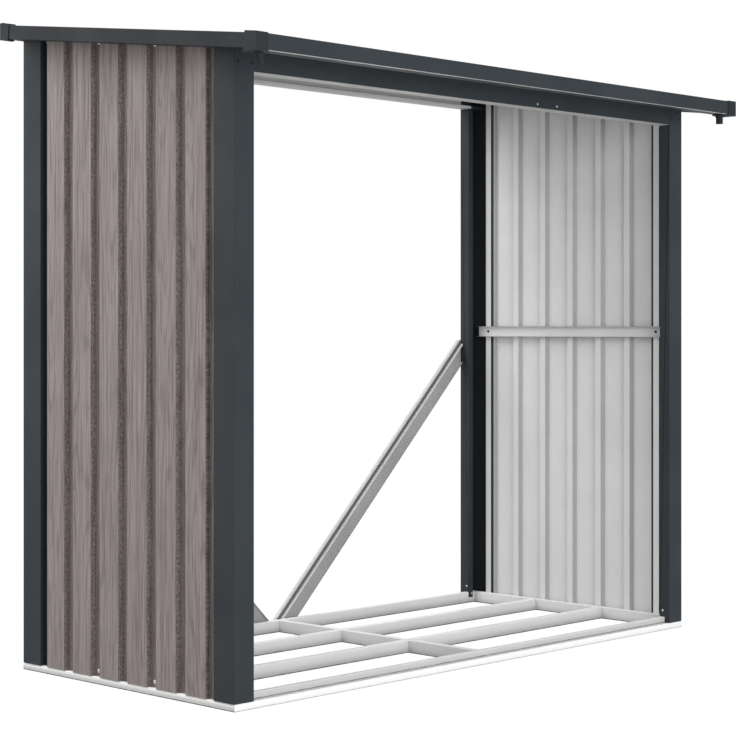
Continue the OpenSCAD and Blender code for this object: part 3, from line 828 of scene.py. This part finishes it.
for end in ENDS:
    for side in SIDES:
        folded_piece(f"folded_post_{end}_{side}", f"post_{end}_{side}", DARK_SHEET)
        folded_piece(
            f"wall_strip_{end}_{side}", f"edge_strip_{end}_{side}", STRIP_SHEETS[end]
        )
        folded_piece(f"floor_joist_{end}_{side}", f"joist_{end}_{side}", FLOOR_SHEET)
    folded_piece(
        f"eaves_beam_{end}", f"beam_{end}", DARK_SHEET, recoat=beam_tones,
        splits=BEAM_SPLITS if end == "back" else (),
    )
for place in (*ENDS, *SIDES):
    folded_piece(
        f"floor_rail_{place}", f"base_rail_{place}",
        (*FLOOR_SHEET, LIT_FRONT_BAND_COAT, SHADED_FLOOR_BOX_COAT),
        recoat=front_rail_tones if place == "front" else None,
    )
folded_piece("floor_middle_member", "floor_cross_member", FLOOR_SHEET)
for side in SIDES:
    folded_piece(f"middle_rail_{side}", f"wall_rail_{side}", GREY_SHEET)
    folded_piece(f"top_angle_{side}", f"wall_top_angle_{side}", GREY_SHEET)
    folded_piece(
        f"back_brace_{side}", f"brace_{side}",
        (LIGHT_GREY, BRACE_WEB_SHADE_COAT, CUT_EDGE, BRACE_LIP_SHADE_COAT), recoat=brace_tones,
    )
    folded_piece(f"side_trim_{side}", f"roof_trim_{side}", SHADED_TRIM_SHEET)
folded_piece("back_trim", "roof_trim_back", DARK_SHEET)
folded_piece(
    "rain_gutter", "gutter_front", (ANTHRACITE, FLOOR_COAT, CUT_EDGE),
    recoat=gutter_painted_highlight, splits=GUTTER_SPLITS,
)

# ---- Moulded caps -------------------------------------------------------


def moulded_cap(end, side):
    """A roof corner cap with the small radii of moulded plastic."""
    node = f"roof_cap_{end}_{side}"
    mesh = solid_copy(node)
    piece = new_piece(f"corner_cap_{end}_{side}", bpy.data.meshes.new(node))
    mesh.to_mesh(piece.data)
    mesh.free()
    piece.data.materials.append(CAP_PLASTIC)
    soft = piece.modifiers.new("Moulded edges", "BEVEL")
    soft.limit_method = "ANGLE"
    soft.angle_limit = math.radians(35)
    soft.width = MOULDED_RADIUS
    soft.segments = FOLD_SEGMENTS
    settle(piece)
    smooth_folds(piece)
    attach(piece, "root")
    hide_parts(node)


for end in ENDS:
    for side in SIDES:
        moulded_cap(end, side)

# ---- Screws -------------------------------------------------------------

MILLIMETRE = 0.001
WASHER_THICKNESS = 0.9
SLOT_WIDTH = 1.1
ARM_LENGTH = 1.15
OTHER_ARM_DEPTH = 1.06
CROSS_TURN = 0.37


def screw_tree():
    """A screw head on a washer at each point, square to the direction in attribute "facing".

    Its sizes are in millimetres. The arms of the cross differ in height and are turned a little, so that
    no two of their faces lie in one plane.
    """
    tree, given, result = new_tree(
        "Screw heads", "GeometryNodeTree",
        {
            "Points": GEOMETRY, "Head Radius": FLOAT, "Head Height": FLOAT, "Washer Radius": FLOAT,
            "Washer Height": FLOAT, "Slot Width": FLOAT, "Head Coat": MATERIAL, "Washer Coat": MATERIAL,
        },
        {"Screws": GEOMETRY},
    )
    washer = add(tree, "GeometryNodeMeshCylinder", {
        "Vertices": 20, "Radius": given["Washer Radius"], "Depth": given["Washer Height"],
    })
    lifted = joined(tree, z=calc(tree, "MULTIPLY", given["Washer Height"], 0.5))
    washer_up = add(tree, "GeometryNodeTransform", {
        "Geometry": washer.outputs[0], "Translation": lifted,
    })
    washer_marked = add(tree, "GeometryNodeStoreNamedAttribute", {
        "Geometry": washer_up.outputs[0], "Name": "washer", "Value": 1.0,
    }, data_type="FLOAT", domain="FACE")
    dome = add(tree, "GeometryNodeMeshUVSphere", {"Segments": 20, "Rings": 10, "Radius": 1.0})
    dome_size = joined(tree, given["Head Radius"], given["Head Radius"], given["Head Height"])
    on_washer = joined(tree, z=given["Washer Height"])
    head = add(tree, "GeometryNodeTransform", {
        "Geometry": dome.outputs[0], "Scale": dome_size, "Translation": on_washer,
    })
    top = calc(tree, "ADD", given["Washer Height"], given["Head Height"])
    arms = []
    for turned in (False, True):
        length = calc(tree, "MULTIPLY", given["Head Radius"], ARM_LENGTH)
        sizes = (given["Slot Width"], length) if turned else (length, given["Slot Width"])
        deep = calc(tree, "MULTIPLY", given["Head Height"], OTHER_ARM_DEPTH if turned else 1.0)
        arm = add(tree, "GeometryNodeMeshCube", {"Size": joined(tree, *sizes, deep)})
        arms.append(arm.outputs[0])
    cross = add(tree, "GeometryNodeMeshBoolean", operation="UNION")
    for arm in arms:
        tree.links.new(arm, cross.inputs[1])
    cutter = add(tree, "GeometryNodeTransform", {
        "Geometry": cross.outputs[0], "Translation": joined(tree, z=top),
        "Rotation": (0.0, 0.0, CROSS_TURN),
    })
    slotted = add(tree, "GeometryNodeMeshBoolean", {0: head.outputs[0]}, operation="DIFFERENCE")
    tree.links.new(cutter.outputs[0], slotted.inputs[1])
    screw = add(tree, "GeometryNodeJoinGeometry")
    tree.links.new(washer_marked.outputs[0], screw.inputs[0])
    tree.links.new(slotted.outputs[0], screw.inputs[0])
    outwards = add(tree, "GeometryNodeInputNamedAttribute", {"Name": "facing"}, data_type="FLOAT_VECTOR")
    turn = add(tree, "FunctionNodeAlignRotationToVector", {"Vector": outwards.outputs[0]}, axis="Z")
    spread = add(tree, "GeometryNodeInstanceOnPoints", {
        "Points": given["Points"], "Instance": screw.outputs[0], "Rotation": turn.outputs[0],
        "Scale": (MILLIMETRE, MILLIMETRE, MILLIMETRE),
    })
    coated = realized(tree, spread.outputs[0], given["Head Coat"])
    marked = add(tree, "GeometryNodeInputNamedAttribute", {"Name": "washer"}, data_type="FLOAT")
    is_washer = calc(tree, "GREATER_THAN", marked.outputs[0], 0.5)
    done = add(tree, "GeometryNodeSetMaterial", {
        "Geometry": coated, "Selection": is_washer, "Material": given["Washer Coat"],
    })
    wire(tree, done.outputs[0], result["Screws"])
    return tree


SCREW_HEADS = screw_tree()


def screws(name, spots, head_coat, head=4.0, height=2.1, washer=5.2, washer_coat=None):
    """Screw heads at (place, outward direction) spots. Radii and height are in millimetres."""
    points = bpy.data.meshes.new(name)
    points.from_pydata([place for place, _ in spots], [], [])
    outwards = points.attributes.new("facing", "FLOAT_VECTOR", "POINT")
    outwards.data.foreach_set("vector", [part for _, way in spots for part in Vector(way).normalized()])
    piece = grown(name, SCREW_HEADS, {
        "Head Radius": head, "Head Height": height, "Washer Radius": washer,
        "Washer Height": WASHER_THICKNESS, "Slot Width": SLOT_WIDTH, "Head Coat": head_coat,
        "Washer Coat": washer_coat or head_coat,
    }, start=points)
    smooth_shading(piece, sharp_degrees=35)
    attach(piece, "root")


def both_sides(spots):
    """Spots on the left half and their mirror images on the right half."""
    return spots + [((-x, y, z), (-u, v, w)) for (x, y, z), (u, v, w) in spots]


OUT_FRONT, OUT_BACK, OUT_LEFT, OUT_RIGHT = (0, -1, 0), (0, 1, 0), (-1, 0, 0), (1, 0, 0)

# Dark screws through the posts into the beams
POST_SCREWS_IN = (0.0106, 0.0534)
FRONT_SCREW_Z, BACK_SCREW_Z = 1.520, 1.628
post_spots = []
for inwards in POST_SCREWS_IN:
    post_spots.append(((LEFT_X + inwards, FRONT_Y, FRONT_SCREW_Z), OUT_FRONT))
    post_spots.append(((LEFT_X + inwards, BACK_Y, BACK_SCREW_Z), OUT_BACK))
screws("post_screws", both_sides(post_spots), RUBBER, head=2.6, height=1.2, washer=3)

# Zinc screws at the beams' splice, right of the middle
SPLICE_X = (0.218, 0.303)
FRONT_SPLICE_UP, BACK_SPLICE_UP = 0.011, 0.0045
back_beam_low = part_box("beam_back")[0]
splice_spots = []
for x in SPLICE_X:
    front_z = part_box("beam_front")[0].z + FRONT_SPLICE_UP
    splice_spots.append(((x, FRONT_Y + STEEL, front_z), OUT_FRONT))
    splice_spots.append(((x, back_beam_low.y, back_beam_low.z + BACK_SPLICE_UP), OUT_FRONT))
screws("splice_screws", splice_spots, ZINC, head=2.6, height=1.4, washer=3.4)

# Zinc screws at the posts' feet, seen from inside, and at the tops of the slots beside the walls
SIDE_FOOT_Z, LIP_FOOT_Z = 0.054, 0.03
FRONT_FOOT_IN, BACK_FOOT_IN = 0.0245, 0.0275
LIP_BACK, LIP_IN = 0.013, 0.0362
SLOT_SCREW_IN, SLOT_SCREW_DROP = 0.0855, 0.02
post_inner_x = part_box("post_front_left")[1].x
foot_spots = [
    ((post_inner_x, y, SIDE_FOOT_Z), OUT_RIGHT) for y in (FRONT_Y + FRONT_FOOT_IN, BACK_Y - BACK_FOOT_IN)
]
foot_spots.append(((post_inner_x - LIP_BACK, BACK_Y - LIP_IN, LIP_FOOT_Z), OUT_FRONT))
foot_spots.append(((post_inner_x - LIP_BACK, FRONT_Y + LIP_IN, LIP_FOOT_Z), OUT_BACK))
for y in (FRONT_Y + SLOT_SCREW_IN, BACK_Y - SLOT_SCREW_IN):
    foot_spots.append(((LEFT_X + POST_STEP, y, roof_z(y, SHEET_DROP) - SLOT_SCREW_DROP), OUT_LEFT))
screws(
    "post_fixing_screws", both_sides(foot_spots), ZINC, head=2.4, height=1.3,
    washer=3,
)

# Dark screws through both ends of the middle rails
RAIL_SCREW_IN = 0.082
rail_low, rail_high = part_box("wall_rail_left")
rail_spots = [
    ((rail_low.x + STEEL, y, (rail_low.z + rail_high.z) / 2), OUT_RIGHT)
    for y in (FRONT_Y + RAIL_SCREW_IN, BACK_Y - RAIL_SCREW_IN)
]
screws("rail_screws", both_sides(rail_spots), RUBBER, head=3.5, washer=4.2)

# Zinc screws in two of a wall's grooves, at its foot and its top
WALL_SCREW_GROOVES = (1, 3)
WALL_SCREW_UP, WALL_SCREW_DOWN = 0.014, 0.016
wall_spots = []
for groove in WALL_SCREW_GROOVES:
    y = FRONT_Y + WALL_EDGE + (groove + 1) * WALL_PITCH - GROOVE_WIDTH / 2
    for z in (LEDGE_TOP + WALL_SCREW_UP, roof_z(y, SHEET_DROP) - WALL_SCREW_DOWN):
        wall_spots.append(((LEFT_X + GROOVE_DEPTH, y, z), OUT_LEFT))
screws("wall_screws", both_sides(wall_spots), ZINC)

# Roof screws with rubber washers, in every second groove near the eaves beams
ROOF_SCREW_IN = 0.024
out_of_roof = (0, -math.sin(ROOF_ANGLE), math.cos(ROOF_ANGLE))
roof_spots = []
for groove in range(0, ROOF_RIBS - 1, 2):
    x = (groove + 1) * ROOF_PITCH - GROOVE_WIDTH / 2
    for y in (FRONT_Y + ROOF_SCREW_IN, BACK_Y - ROOF_SCREW_IN):
        roof_spots.append(((-x, y, roof_z(y, ROOF_RIB + STEEL)), out_of_roof))
screws(
    "roof_screws", both_sides(roof_spots), ZINC, head=4.2, height=2.8, washer=7,
    washer_coat=RUBBER,
)

# ---- Rings on the drain spigots -----------------------------------------


def hose_ring_tree():
    """Barbed rings, one below the other, that hold a hose on a spigot."""
    tree, given, result = new_tree(
        "Hose rings", "GeometryNodeTree",
        {
            "Rings": WHOLE, "Spacing": FLOAT, "Radius": FLOAT, "Proud": FLOAT, "Top": VECTOR,
            "Coat": MATERIAL,
        },
        {"Barbs": GEOMETRY},
    )
    circle = add(tree, "GeometryNodeCurvePrimitiveCircle", {"Resolution": 40, "Radius": given["Radius"]})
    barb = add(tree, "GeometryNodeCurvePrimitiveCircle", {"Resolution": 8, "Radius": given["Proud"]})
    ring = add(tree, "GeometryNodeCurveToMesh", {
        "Curve": circle.outputs[0], "Profile Curve": barb.outputs[0],
    })
    down = joined(tree, z=calc(tree, "MULTIPLY", given["Spacing"], -1.0))
    stations = add(tree, "GeometryNodeMeshLine", {
        "Count": given["Rings"], "Start Location": given["Top"], "Offset": down,
    }, mode="OFFSET")
    spread = add(tree, "GeometryNodeInstanceOnPoints", {
        "Points": stations.outputs[0], "Instance": ring.outputs[0],
    })
    wire(tree, realized(tree, spread.outputs[0], given["Coat"]), result["Barbs"])
    return tree


HOSE_RINGS = hose_ring_tree()
RING_SPACING = 0.0055
RING_PROUD = 0.0011
RING_SUNK = 0.0003
FIRST_RING_UP = 0.004
for mount in frame["record"]["mounts"]:
    if mount["kind"] != "pin":
        continue
    x, y, z = mount["pos_m"]
    rings = grown("hose_rings_" + mount["name"].rsplit("_", 1)[1], HOSE_RINGS, {
        "Rings": 3, "Spacing": RING_SPACING, "Radius": mount["dims"]["r_mm"] / 1000 - RING_SUNK,
        "Proud": RING_PROUD, "Top": (x, y, z + FIRST_RING_UP), "Coat": CAP_PLASTIC,
    })
    rings.data.shade_smooth()
    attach(rings, "root")

# ---- Studio -------------------------------------------------------------

FLOOR_WHITE = 1.17
FLOOR_WHITE_SHARE = 0.82
FLOOR_GREY = (0.5, 0.5, 0.5, 1)
FLOOR_REACH = 60.0
FLOOR_LEVEL = -0.0006


def seen_directly(tree):
    """1 for what the camera, a mirror or glass sees directly, 0 for light on the store."""
    path = add(tree, "ShaderNodeLightPath").outputs
    seen = calc(tree, "MAXIMUM", path["Is Camera Ray"], path["Is Glossy Ray"])
    return calc(tree, "MAXIMUM", seen, path["Is Transmission Ray"])


def white_to_the_eye(tree, shader, share):
    """Mixes a shader with plain white where it is seen directly."""
    white = add(tree, "ShaderNodeEmission", {"Color": (1, 1, 1, 1), "Strength": FLOOR_WHITE})
    mix = add(tree, "ShaderNodeMixShader", {
        0: calc(tree, "MULTIPLY", seen_directly(tree), share), 1: shader, 2: white.outputs[0],
    })
    return mix.outputs[0]


def studio_floor():
    """A wide pale floor that keeps the store's shadow."""
    mesh = bpy.data.meshes.new("studio_floor")
    corners = [(FLOOR_REACH * x, FLOOR_REACH * y) for x, y in ((-1, -1), (1, -1), (1, 1), (-1, 1))]
    mesh.from_pydata([(x, y, FLOOR_LEVEL) for x, y in corners], [], [(0, 1, 2, 3)])
    floor = new_piece("studio_floor", mesh)
    material = bpy.data.materials.new("studio_floor")
    material.use_nodes = True
    tree = material.node_tree
    tree.nodes.clear()
    matt = add(tree, "ShaderNodeBsdfDiffuse", {"Color": FLOOR_GREY})
    out = add(tree, "ShaderNodeOutputMaterial")
    wire(tree, white_to_the_eye(tree, matt.outputs[0], FLOOR_WHITE_SHARE), out.inputs["Surface"])
    mesh.materials.append(material)


def studio_world(strength):
    """Even white light all round, pure white where it is seen."""
    world = bpy.data.worlds.new("studio")
    scene.world = world
    world.use_nodes = True
    tree = world.node_tree
    background = tree.nodes["Background"]
    background.inputs["Color"].default_value = (1, 1, 1, 1)
    wire(tree, ranged(tree, seen_directly(tree), 0.0, 1.0, strength, 1.0), background.inputs["Strength"])


def softbox(name, at, towards, size, watts):
    """A square area light that points at a place."""
    light = bpy.data.lights.new(name, "AREA")
    light.shape = "SQUARE"
    light.size = size
    light.energy = watts
    lamp = bpy.data.objects.new(name, light)
    lamp.location = at
    lamp.rotation_euler = (Vector(towards) - Vector(at)).to_track_quat("-Z", "Y").to_euler()
    scene.collection.objects.link(lamp)


STORE_MIDDLE = (0, 0, 0.8)
BEAM_MIDDLE = (0, 0.4, 1.5)
studio_floor()
studio_world(strength=0.46)
softbox("key_back_left", at=(-4.5, 5.0, 2.8), towards=STORE_MIDDLE, size=4.0, watts=115)
softbox("key_above", at=(-3.0, 2.6, 5.4), towards=STORE_MIDDLE, size=4.0, watts=235)
softbox("fill_front", at=(-2.2, -6.2, 1.6), towards=STORE_MIDDLE, size=3.2, watts=215)
softbox("low_front", at=(0.6, -5.0, 0.4), towards=BEAM_MIDDLE, size=0.7, watts=55)

camera = bpy.data.cameras.new("camera")
camera.lens = 94.97
camera.sensor_width = 36.0
camera.shift_y = -0.057
camera.clip_end = 200.0
viewer = bpy.data.objects.new("camera", camera)
viewer.location = (-3.938, -3.718, 0.902)
viewer.rotation_euler = (math.radians(90), 0, math.radians(-45.94))
scene.collection.objects.link(viewer)
scene.camera = viewer

scene.view_settings.view_transform = "Standard"
